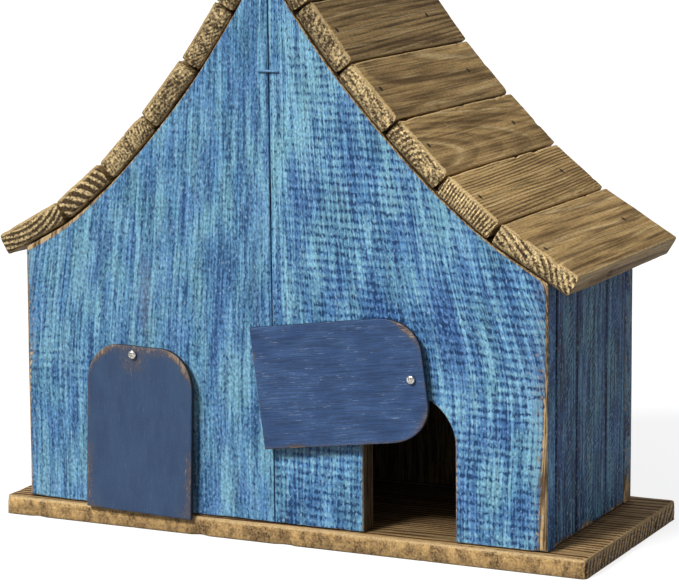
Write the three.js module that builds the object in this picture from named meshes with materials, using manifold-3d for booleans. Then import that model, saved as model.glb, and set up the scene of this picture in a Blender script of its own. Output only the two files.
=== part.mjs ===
// A wooden birdhouse with a swept pagoda roof and two flap doors, each hung on one screw.
// Units are millimetres. +Z is up, +X is right as seen from the front, and the front faces -Y.
// The origin is the centre of the base board's underside.
import * as THREE from "three";
import { mergeVertices } from "three/addons/utils/BufferGeometryUtils.js";
import Module from "manifold-3d";

const wasm = await Module();
wasm.setup();

// ---- Driving dimensions -------------------------------------------------------------------------

const GAP = 0.3; // clearance left between two pieces that touch
const OVERRUN = 1; // how far a cutter runs past the face it cuts
const HOLE_SIDES = 12;

const BASE = { width: 338, depth: 138, thickness: 10.5 };

const HOUSE = { left: -154.8, right: 146.5, front: -66, back: 60 };
const FRONT_BOARD = { thickness: 13, jointFoot: -5.7, jointTop: -7.7 };
const BACK_BOARD = { thickness: 12.5, jointFoot: 3, jointTop: 3 };
const JOINT_TOP_HEIGHT = 300; // height at which jointTop is measured
const SIDE_BOARD = { thickness: 12.5, rearOfFront: -24.5, rearOfMiddle: 18.5 };

// Each row of planks climbs from the eave: width across the grain, and slope in degrees from level.
// The sixth plank's width follows from where the two sides meet at the ridge.
const ROOF = {
  thickness: 12.3,
  front: -66.8,
  back: 82,
  seam: 0.8, // between the outer edges of neighbouring planks
  left: {
    side: -1,
    eave: [-171.2, 153.1],
    planks: [
      { width: 42, slope: 29 },
      { width: 34, slope: 40 },
      { width: 38, slope: 46.5 },
      { width: 38, slope: 51 },
      { width: 37, slope: 56 },
      { slope: 59 },
    ],
  },
  right: {
    side: 1,
    eave: [163.8, 151.5],
    planks: [
      { width: 49, slope: 31 },
      { width: 36.5, slope: 38.5 },
      { width: 38, slope: 44.5 },
      { width: 38, slope: 47.5 },
      { width: 38, slope: 52.5 },
      { slope: 57 },
    ],
  },
  stagger: [0, 0.9, -0.6, 0.5, -0.8, 0.3], // how far each plank sits forward of the row
};
const GABLE_STEPS = 8; // straight steps along the gable's curve for each plank

const DOORWAY = { width: 51.4, archCentre: 60, archSteps: 16 };
const DOOR = {
  thickness: 3,
  standOff: 3.3, // from the wall to the door's back, so that the door clears the base
  cornerWidth: 19,
  cornerHeight: 22,
};
const DOORS = {
  left: {
    pivot: [-85.6, 95.3],
    doorway: -82,
    width: 63.4,
    offset: 3.7, // from the pivot to the door's middle
    above: 4.4, // from the pivot to the door's top
    below: 85.8,
    swing: 1.4, // degrees clockwise from hanging, seen from the front
  },
  right: {
    pivot: [75.3, 94.8],
    doorway: 71.1,
    width: 64.4,
    offset: 0.2,
    above: 7.2,
    below: 88.5,
    swing: 82.3,
  },
};

const SCREW = { head: 4.5, headHeight: 1.8, shank: 2.6, length: 17, hole: 3.2 };
const SPACER = { outer: 7, inner: 3.2 };
const BRAD = { diameter: 1.2, length: 22, sunk: 0.4 };
const BASE_NAIL = { head: 5.2, headHeight: 1.8, shank: 2.2, length: 30 };
const STAPLE = { crown: 12.5, wire: 1.2, flat: 0.7, leg: 9, middle: -7.2, height: 247 };

// ---- Finishes -----------------------------------------------------------------------------------

const finish = (color, roughness, metalness = 0) =>
  new THREE.MeshStandardMaterial({ color, roughness, metalness });

const FINISHES = {
  frontPaint: finish(0x6aa6cc, 0.75),
  sidePaint: finish(0x3c6ca8, 0.75),
  doorPaint: finish(0x3e547c, 0.6),
  roofWood: finish(0x8c6e46, 0.8),
  baseWood: finish(0x86683f, 0.8),
  bareWood: finish(0xa5825a, 0.85),
  screwSteel: finish(0xc8c8c4, 0.35, 1),
  nailSteel: finish(0x4a443c, 0.5, 1),
  paintedSteel: finish(0x5f9cc6, 0.6),
};

// ---- Solids -------------------------------------------------------------------------------------

const radians = THREE.MathUtils.degToRad;
const point = (x, z) => new THREE.Vector2(x, z);

// A closed geometry as a solid that can be joined and cut.
function solidOf(geometry) {
  const bare = geometry.clone();
  bare.deleteAttribute("normal");
  bare.deleteAttribute("uv");
  const merged = mergeVertices(bare, 1e-4);
  return new wasm.Manifold(
    new wasm.Mesh({
      numProp: 3,
      vertProperties: merged.attributes.position.array,
      triVerts: new Uint32Array(merged.index.array),
    }),
  );
}

// A solid as a geometry with flat faces.
function geometryOf(solid) {
  const mesh = solid.getMesh();
  const geometry = new THREE.BufferGeometry()
    .setAttribute("position", new THREE.BufferAttribute(mesh.vertProperties, 3))
    .setIndex(new THREE.BufferAttribute(mesh.triVerts, 1))
    .toNonIndexed();
  geometry.computeVertexNormals();
  return geometry;
}

const cut = (geometry, cutters) =>
  geometryOf(
    cutters.reduce((body, cutter) => body.subtract(solidOf(cutter)), solidOf(geometry)),
  );

// An outline drawn in X and Z, made solid from the plane y = from to the plane y = to.
function slab(shape, from, to, curveSegments = 8) {
  return new THREE.ExtrudeGeometry(shape, {
    depth: to - from,
    bevelEnabled: false,
    curveSegments,
  })
    .rotateX(Math.PI / 2)
    .translate(0, to, 0);
}

// A box given by its lowest and highest corners.
function block(low, high) {
  const [width, depth, height] = high.map((value, axis) => value - low[axis]);
  const middle = high.map((value, axis) => (value + low[axis]) / 2);
  return new THREE.BoxGeometry(width, depth, height).translate(...middle);
}

// A round rod from one point to another.
function rod(radius, from, to, sides = HOLE_SIDES) {
  const along = to.clone().sub(from);
  const turn = new THREE.Quaternion().setFromUnitVectors(
    new THREE.Vector3(0, 1, 0),
    along.clone().normalize(),
  );
  return new THREE.CylinderGeometry(radius, radius, along.length(), sides)
    .applyQuaternion(turn)
    .translate(...from.clone().add(to).multiplyScalar(0.5).toArray());
}

const house = new THREE.Group();

function add(name, geometry, material, place = {}) {
  const mesh = new THREE.Mesh(geometry, material);
  mesh.name = name;
  mesh.position.set(...(place.position ?? [0, 0, 0]));
  mesh.rotation.set(...(place.rotation ?? [0, 0, 0]));
  house.add(mesh);
}

// ---- Roof layout --------------------------------------------------------------------------------

// How far along direction d from point p the line crosses the line through q along e.
function crossing(p, d, q, e) {
  const apart = q.clone().sub(p);
  return apart.cross(e) / d.cross(e);
}

// Each plank's outer face runs from foot to head. up points up the slope and out away from the house.
function layPlanks({ side, eave, planks }) {
  let foot = point(...eave);
  return planks.map(({ width = 0, slope }) => {
    const angle = radians(slope);
    const up = point(-side * Math.cos(angle), Math.sin(angle));
    const out = point(side * Math.sin(angle), Math.cos(angle));
    const plank = { slope, width, foot, up, out };
    foot = foot.clone().addScaledVector(up, width);
    return plank;
  });
}

const leftPlanks = layPlanks(ROOF.left);
const rightPlanks = layPlanks(ROOF.right);
const leftTop = leftPlanks.at(-1);
const rightTop = rightPlanks.at(-1);

const underside = (plank, depth = ROOF.thickness) =>
  plank.foot.clone().addScaledVector(plank.out, -depth);

// The right top plank laps over the left one: its square end stops at the left plank's outer face,
// and the left plank is cut to lie against the right one's underside.
rightTop.width = crossing(underside(rightTop), rightTop.up, leftTop.foot, leftTop.up);
const lapDepth = ROOF.thickness + GAP;
leftTop.width = crossing(leftTop.foot, leftTop.up, underside(rightTop, lapDepth), rightTop.up);
leftTop.innerWidth = crossing(
  underside(leftTop),
  leftTop.up,
  underside(rightTop, lapDepth),
  rightTop.up,
);

// Where a plank's underside crosses a vertical line.
function undersideHeight(plank, x) {
  const start = underside(plank);
  return start.y + ((x - start.x) * plank.up.y) / plank.up.x;
}

// ---- Walls --------------------------------------------------------------------------------------

// The points that the gable's edge passes on one side, from the wall's corner to the peak.
function gablePoints(planks, wallX, peak) {
  const corner = point(wallX, undersideHeight(planks[0], wallX) - GAP);
  const seams = planks.slice(1).map((plank, i) => {
    const below = underside(planks[i]).addScaledVector(planks[i].up, planks[i].width);
    return below.add(underside(plank)).multiplyScalar(0.5).add(point(0, -2 * GAP));
  });
  return [corner, ...seams, peak];
}

const gableDepth = ROOF.thickness + GAP;
const leftUnder = underside(leftTop, gableDepth);
const peak = leftUnder
  .clone()
  .addScaledVector(
    leftTop.up,
    crossing(leftUnder, leftTop.up, underside(rightTop, gableDepth), rightTop.up),
  );
const gableCurve = (planks, wallX) =>
  new THREE.SplineCurve(gablePoints(planks, wallX, peak)).getPoints(
    planks.length * GABLE_STEPS,
  );

const floorHeight = BASE.thickness + GAP;
const gable = new THREE.Shape([
  point(HOUSE.left, floorHeight),
  point(HOUSE.right, floorHeight),
  ...gableCurve(rightPlanks, HOUSE.right),
  ...gableCurve(leftPlanks, HOUSE.left).reverse().slice(1),
]);

// The half of the gable on one side of the upright joint between its two boards.
function halfPlane({ jointFoot, jointTop }, side, from, to) {
  const lean = (jointTop - jointFoot) / (JOINT_TOP_HEIGHT - floorHeight);
  const edge = (height) => jointFoot + lean * (height - floorHeight) + (side * GAP) / 2;
  const far = side * BASE.width;
  const low = -OVERRUN;
  const high = 2 * JOINT_TOP_HEIGHT;
  const corners = [point(edge(low), low), point(far, low), point(far, high), point(edge(high), high)];
  if (side < 0) corners.reverse();
  return slab(new THREE.Shape(corners), from, to);
}

const doorwayShape = (middle) => {
  const radius = DOORWAY.width / 2;
  const shape = new THREE.Shape();
  shape.moveTo(middle - radius, 0);
  shape.lineTo(middle + radius, 0);
  shape.absarc(middle, DOORWAY.archCentre, radius, 0, Math.PI, false);
  return shape;
};

const frontInside = HOUSE.front + FRONT_BOARD.thickness;
const backInside = HOUSE.back - BACK_BOARD.thickness;
const frontMiddle = HOUSE.front + FRONT_BOARD.thickness / 2;
const backMiddle = HOUSE.back - BACK_BOARD.thickness / 2;

// ---- Fasteners ----------------------------------------------------------------------------------

const outward = (plank) => new THREE.Vector3(plank.out.x, 0, plank.out.y);

// A brad's head, on the plank's outer face. The top planks are nailed low, where the gable is wide.
function bradHead(plank, y) {
  const share = plank === leftTop || plank === rightTop ? 0.22 : 0.5;
  const spot = plank.foot.clone().addScaledVector(plank.up, plank.width * share);
  return new THREE.Vector3(spot.x, y, spot.y);
}

const alongBrad = (plank, y, depth) =>
  bradHead(plank, y).addScaledVector(outward(plank), -depth);

const brad = (plank, y) =>
  rod(BRAD.diameter / 2, alongBrad(plank, y, BRAD.length), alongBrad(plank, y, BRAD.sunk));

const bradHole = (plank, y) =>
  rod(
    BRAD.diameter / 2 + GAP,
    alongBrad(plank, y, BRAD.length + GAP),
    alongBrad(plank, y, -OVERRUN),
  );

const allPlanks = [...leftPlanks, ...rightPlanks];
const roofHoles = (y) => allPlanks.map((plank) => bradHole(plank, y));

// A nail driven up through the base into a wall board.
const nailProfile = (grow) => [
  point(0, grow ? -OVERRUN : 0),
  point(BASE_NAIL.head / 2 + grow, grow ? -OVERRUN : 0),
  point(BASE_NAIL.head / 2 + grow, 0),
  point(BASE_NAIL.shank / 2 + grow, BASE_NAIL.headHeight),
  point(BASE_NAIL.shank / 2 + grow, BASE_NAIL.length + grow),
  point(0, BASE_NAIL.length + grow),
];
const baseNails = {
  front_left: [-130, frontMiddle],
  front_right: [120, frontMiddle],
  back_left: [-80, backMiddle],
  back_right: [75, backMiddle],
};
const turned = (profile) =>
  new THREE.LatheGeometry(
    profile.filter((spot, i) => i === 0 || !spot.equals(profile[i - 1])),
    HOLE_SIDES,
  ).rotateX(Math.PI / 2);
const nailHoles = Object.values(baseNails).map(([x, y]) =>
  turned(nailProfile(GAP)).translate(x, y, GAP),
);

// A flat wire staple across the joint of the front boards.
function stapleShape(grow) {
  const half = STAPLE.crown / 2;
  const inner = half - STAPLE.wire;
  const corners = [
    [-half - grow, -STAPLE.flat - grow],
    [half + grow, -STAPLE.flat - grow],
    [half + grow, STAPLE.leg + grow],
    [inner - grow, STAPLE.leg + grow],
    [inner - grow, grow],
    [-inner + grow, grow],
    [-inner + grow, STAPLE.leg + grow],
    [-half - grow, STAPLE.leg + grow],
  ];
  return new THREE.Shape(corners.map(([x, y]) => point(x, y)));
}
const staple = (grow) =>
  new THREE.ExtrudeGeometry(stapleShape(grow), {
    depth: STAPLE.wire + 2 * grow,
    bevelEnabled: false,
  }).translate(STAPLE.middle, HOUSE.front - GAP, STAPLE.height - grow);

// ---- Base ---------------------------------------------------------------------------------------

add(
  "base_board",
  cut(
    block(
      [-BASE.width / 2, -BASE.depth / 2, 0],
      [BASE.width / 2, BASE.depth / 2, BASE.thickness],
    ),
    nailHoles,
  ),
  FINISHES.baseWood,
);

for (const [name, [x, y]] of Object.entries(baseNails))
  add(`base_nail_${name}`, turned(nailProfile(0)), FINISHES.nailSteel, {
    position: [x, y, GAP],
  });

// ---- Front and back -----------------------------------------------------------------------------

const screwHole = ([x, z]) =>
  rod(
    SCREW.hole / 2,
    new THREE.Vector3(x, HOUSE.front - OVERRUN, z),
    new THREE.Vector3(x, HOUSE.front - DOOR.standOff - DOOR.thickness + SCREW.length, z),
  );

const frontCutters = [
  ...Object.values(DOORS).map(({ doorway }) =>
    slab(
      doorwayShape(doorway),
      HOUSE.front - OVERRUN,
      frontInside + OVERRUN,
      DOORWAY.archSteps,
    ),
  ),
  ...Object.values(DOORS).map(({ pivot }) => screwHole(pivot)),
  ...roofHoles(frontMiddle),
  ...nailHoles,
  staple(GAP),
];
const backCutters = [...roofHoles(backMiddle), ...nailHoles];

// One board: half of the gable, between two planes.
function wallBoard(board, side, from, to, cutters) {
  const half = solidOf(slab(gable, from, to)).intersect(
    solidOf(halfPlane(board, side, from - OVERRUN, to + OVERRUN)),
  );
  return cut(geometryOf(half), cutters);
}

for (const [name, side] of [["left", -1], ["right", 1]]) {
  add(
    `front_board_${name}`,
    wallBoard(FRONT_BOARD, side, HOUSE.front, frontInside, frontCutters),
    FINISHES.frontPaint,
  );
  add(
    `back_board_${name}`,
    wallBoard(BACK_BOARD, side, backInside, HOUSE.back, backCutters),
    FINISHES.sidePaint,
  );
}

add("joint_staple", staple(0), FINISHES.paintedSteel);

// ---- Sides --------------------------------------------------------------------------------------

const sideRows = {
  front: [frontInside + GAP, SIDE_BOARD.rearOfFront],
  middle: [SIDE_BOARD.rearOfFront + GAP, SIDE_BOARD.rearOfMiddle],
  rear: [SIDE_BOARD.rearOfMiddle + GAP, backInside - GAP],
};

for (const [name, outer, inward, eavePlank] of [
  ["left", HOUSE.left, 1, leftPlanks[0]],
  ["right", HOUSE.right, -1, rightPlanks[0]],
]) {
  const inner = outer + inward * SIDE_BOARD.thickness;
  const top = undersideHeight(eavePlank, outer) - GAP;
  for (const [row, [from, to]] of Object.entries(sideRows))
    add(
      `${name}_side_board_${row}`,
      block(
        [Math.min(inner, outer), from, floorHeight],
        [Math.max(inner, outer), to, top],
      ),
      FINISHES.sidePaint,
    );
}

// ---- Roof ---------------------------------------------------------------------------------------

// A plank in its own frame: X across the grain, Z out of its outer face, origin at its foot.
function plankGeometry(plank, side, forward) {
  const half = ROOF.seam / 2;
  const across = (distance) => -side * distance;
  const innerWidth = plank.innerWidth ?? plank.width;
  const corners = [
    point(across(half), 0),
    point(across(plank.width - half), 0),
    point(across(innerWidth - half), -ROOF.thickness),
    point(across(half), -ROOF.thickness),
  ];
  if (side < 0) corners.reverse();
  return slab(new THREE.Shape(corners), ROOF.front - forward, ROOF.back - forward);
}

for (const [name, planks] of [["left", leftPlanks], ["right", rightPlanks]]) {
  const { side } = ROOF[name];
  planks.forEach((plank, i) => {
    const turn = new THREE.Matrix4()
      .makeRotationY(side * radians(plank.slope))
      .setPosition(plank.foot.x, 0, plank.foot.y);
    const toPlank = turn.clone().invert();
    const holes = [frontMiddle, backMiddle].map((y) =>
      bradHole(plank, y).applyMatrix4(toPlank),
    );
    const geometry = cut(plankGeometry(plank, side, ROOF.stagger[i]), holes);
    add(`${name}_roof_plank_${i + 1}`, geometry, FINISHES.roofWood, {
      position: [plank.foot.x, 0, plank.foot.y],
      rotation: [0, side * radians(plank.slope), 0],
    });
    for (const [end, y] of [["front", frontMiddle], ["back", backMiddle]])
      add(`${name}_roof_brad_${i + 1}_${end}`, brad(plank, y), FINISHES.nailSteel);
  });
}

// ---- Doors --------------------------------------------------------------------------------------

// A door's outline around its pivot, as it hangs: square at the foot, rounded at the head.
function doorShape({ width, offset, above, below }) {
  const left = offset - width / 2;
  const right = offset + width / 2;
  const { cornerWidth: w, cornerHeight: h } = DOOR;
  const shape = new THREE.Shape();
  shape.moveTo(left, -below);
  shape.lineTo(right, -below);
  shape.absellipse(right - w, above - h, w, h, 0, Math.PI / 2, false, 0);
  shape.absellipse(left + w, above - h, w, h, Math.PI / 2, Math.PI, false, 0);
  shape.holes.push(new THREE.Path().absarc(0, 0, SCREW.hole / 2, 0, 2 * Math.PI, true));
  return shape;
}

const doorBack = HOUSE.front - DOOR.standOff;
const doorFront = doorBack - DOOR.thickness;

// A pan-head screw along +Y, its head's back face at the origin.
const screwProfile = [
  point(0, -SCREW.headHeight),
  point(SCREW.head * 0.3, -SCREW.headHeight),
  point(SCREW.head * 0.45, -SCREW.headHeight * 0.7),
  point(SCREW.head / 2, -SCREW.headHeight * 0.2),
  point(SCREW.head / 2, 0),
  point(SCREW.shank / 2, 0),
  point(SCREW.shank / 2, SCREW.length - SCREW.shank),
  point(0, SCREW.length - GAP),
];
const screwSides = 16;

const spacerShape = new THREE.Shape().absarc(0, 0, SPACER.outer / 2, 0, 2 * Math.PI, false);
spacerShape.holes.push(
  new THREE.Path().absarc(0, 0, SPACER.inner / 2, 0, 2 * Math.PI, true),
);

for (const [name, door] of Object.entries(DOORS)) {
  const [x, z] = door.pivot;
  add(`${name}_door`, slab(doorShape(door), doorFront, doorBack, 10), FINISHES.doorPaint, {
    position: [x, 0, z],
    rotation: [0, radians(door.swing), 0],
  });
  add(
    `${name}_door_screw`,
    new THREE.LatheGeometry(screwProfile, screwSides),
    FINISHES.screwSteel,
    { position: [x, doorFront - GAP, z] },
  );
  add(
    `${name}_door_spacer`,
    slab(spacerShape, doorBack + GAP, HOUSE.front - GAP),
    FINISHES.nailSteel,
    { position: [x, 0, z] },
  );
}

export default house;
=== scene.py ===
# Looks for the birdhouse: painted walls and doors, stained roof and base, and small steel fittings.
# Lengths inside a board are in millimetres, because grain and paint are easiest to size that way.
# Every Blender object is in metres, in the row frame.
from math import copysign, cos, pi, radians, sin, sqrt

import bpy
import numpy as np
from mathutils import Matrix, Vector, kdtree


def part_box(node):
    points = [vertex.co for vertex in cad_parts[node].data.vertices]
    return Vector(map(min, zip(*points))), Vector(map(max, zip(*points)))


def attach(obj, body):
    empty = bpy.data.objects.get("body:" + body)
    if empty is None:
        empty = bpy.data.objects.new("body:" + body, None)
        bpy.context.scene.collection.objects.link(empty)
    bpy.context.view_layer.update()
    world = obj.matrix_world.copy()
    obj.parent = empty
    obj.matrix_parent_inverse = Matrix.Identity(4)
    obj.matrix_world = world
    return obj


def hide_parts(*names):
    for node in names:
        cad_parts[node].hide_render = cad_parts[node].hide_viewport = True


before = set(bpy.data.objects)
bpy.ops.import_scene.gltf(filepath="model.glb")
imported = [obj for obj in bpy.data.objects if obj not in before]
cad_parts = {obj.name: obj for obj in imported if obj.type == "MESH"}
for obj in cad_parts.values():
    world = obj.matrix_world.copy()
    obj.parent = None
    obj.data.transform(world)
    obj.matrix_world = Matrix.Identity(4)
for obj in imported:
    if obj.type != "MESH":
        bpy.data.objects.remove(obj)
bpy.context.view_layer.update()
MM = 0.001


# ---- Camera, light and floor ----

VIEW = {
    "azimuth": 25.28,
    "elevation": 8.42,
    "roll": -0.28,
    "distance": 1.53607,
    "target": (0.0087, -0.006, 0.15668),
    "lens": 153.09,
    "sensor": 36.0,
    "shift": (-0.01153, -0.0871),
}
SUN = {"azimuth": -21, "elevation": 44, "strength": 3.25, "softness": 15}
SKY_STRENGTH = 0.36
GROUND_STRENGTH = 0.15
FLOOR_SIZE = 30.0
FLOOR_COLOUR = (0.27, 0.27, 0.27, 1)
FLOOR_GLOW = 0.8  # keeps the pale floor from going grey in the object's shadow
HORIZON_BLUR = 0.15  # how far above and below level the ground fades into the sky
WHITE = (1, 1, 1, 1)


def add_object(name, data):
    made = bpy.data.objects.new(name, data)
    bpy.context.scene.collection.objects.link(made)
    return made


def set_inputs(node, **values):
    """Sets the sockets of a node. An underscore in a name stands for a space."""
    for name, value in values.items():
        node.inputs[name.replace("_", " ")].default_value = value


def from_front(azimuth, elevation):
    """The direction towards a viewer or light, in degrees right of the front and above level."""
    a, e = radians(azimuth), radians(elevation)
    return Vector((sin(a) * cos(e), -cos(a) * cos(e), sin(e)))


def make_camera():
    camera = add_object("camera", bpy.data.cameras.new("camera"))
    camera.data.sensor_width = VIEW["sensor"]
    camera.data.lens = VIEW["lens"]
    camera.data.shift_x, camera.data.shift_y = VIEW["shift"]
    camera.data.clip_end = 100
    back = from_front(VIEW["azimuth"], VIEW["elevation"])
    right = Vector((0, 0, 1)).cross(back).normalized()
    up = back.cross(right)
    turn = Matrix((right, up, back)).transposed().to_4x4()
    turn = turn @ Matrix.Rotation(radians(VIEW["roll"]), 4, "Z")
    camera.matrix_world = Matrix.Translation(Vector(VIEW["target"]) + back * VIEW["distance"]) @ turn
    bpy.context.scene.camera = camera


def make_light():
    sun = add_object("key", bpy.data.lights.new("key", "SUN"))
    sun.data.energy = SUN["strength"]
    sun.data.angle = radians(SUN["softness"])
    sun.rotation_euler = from_front(SUN["azimuth"], SUN["elevation"]).to_track_quat("Z", "Y").to_euler()
    world = bpy.data.worlds.new("studio")
    bpy.context.scene.world = world
    world.use_nodes = True
    nodes, links = world.node_tree.nodes, world.node_tree.links
    place = nodes.new("ShaderNodeTexCoord")
    split = nodes.new("ShaderNodeSeparateXYZ")
    blend = nodes.new("ShaderNodeMapRange")
    set_inputs(blend, From_Min=-HORIZON_BLUR, From_Max=HORIZON_BLUR)
    set_inputs(blend, To_Min=GROUND_STRENGTH, To_Max=SKY_STRENGTH)
    links.new(place.outputs["Generated"], split.inputs[0])
    links.new(split.outputs["Z"], blend.inputs["Value"])
    links.new(blend.outputs[0], nodes["Background"].inputs["Strength"])
    set_inputs(nodes["Background"], Color=WHITE)
    bpy.context.scene.view_settings.view_transform = "Standard"


def make_floor():
    half = FLOOR_SIZE / 2
    mesh = bpy.data.meshes.new("floor")
    corners = [(-half, -half, 0), (half, -half, 0), (half, half, 0), (-half, half, 0)]
    mesh.from_pydata(corners, [], [(0, 1, 2, 3)])
    floor = add_object("floor", mesh)
    floor.visible_diffuse = False  # the ground half of the world gives the bounce instead
    material = bpy.data.materials.new("floor")
    material.use_nodes = True
    shader = material.node_tree.nodes["Principled BSDF"]
    set_inputs(shader, Base_Color=FLOOR_COLOUR, Roughness=0.9)
    set_inputs(shader, Emission_Color=WHITE, Emission_Strength=FLOOR_GLOW)
    mesh.materials.append(material)


# ---- Noise ----


def lattice(x, y, z, seed):
    """A fixed random value from 0 to 1 for each whole-numbered cell."""
    h = (x * 374761393 + y * 668265263 + z * 1440662683 + seed * 974634777) & 0xFFFFFFFF
    h = ((h ^ (h >> 13)) * 1274126177) & 0xFFFFFFFF
    return (h ^ (h >> 16)) / 0xFFFFFFFF


def noise(points, size, seed):
    """Smooth noise from -1 to 1, with features of the given size in mm along each axis."""
    p = points / np.broadcast_to(np.asarray(size, float), points.shape)
    cell = np.floor(p).astype(np.int64)
    f = p - cell
    f = f * f * (3 - 2 * f)
    total = np.zeros(len(p))
    for corner in range(8):
        step = [(corner >> k) & 1 for k in range(3)]
        weight = np.prod([f[:, k] if step[k] else 1 - f[:, k] for k in range(3)], axis=0)
        total += weight * lattice(*(cell[:, k] + step[k] for k in range(3)), seed)
    return 2 * total - 1


def layered(points, size, seed, octaves=3):
    """Noise with finer layers at half the size and half the strength of the one before."""
    total, strength = np.zeros(len(points)), 1.0
    for octave in range(octaves):
        total += strength * noise(points, np.asarray(size, float) * 0.5**octave, seed + octave)
        strength *= 0.5
    return total / (2 - 2 * strength)


def unit(points, size, seed, octaves=3):
    """Layered noise from 0 to 1."""
    return 0.5 + 0.5 * layered(points, size, seed, octaves)


def ramp(low, high, value):
    """A smooth rise from 0 to 1 while value goes from low to high."""
    t = np.clip((value - low) / (high - low), 0, 1)
    return t * t * (3 - 2 * t)


# ---- Boards as meshes ----

EDGE_LINES = np.array([0.35, 0.8, 1.4, 2.1, 3.0])


def spread(length, step):
    """Grid lines from 0 to length, close together near both ends."""
    inner = np.linspace(EDGE_LINES[-1], length - EDGE_LINES[-1], max(2, round(length / step)))
    return np.concatenate([[0], EDGE_LINES[:-1], inner, length - EDGE_LINES[-2::-1], [length]])


def normalised(vectors):
    return vectors / np.maximum(np.linalg.norm(vectors, axis=1, keepdims=True), 1e-9)


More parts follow.
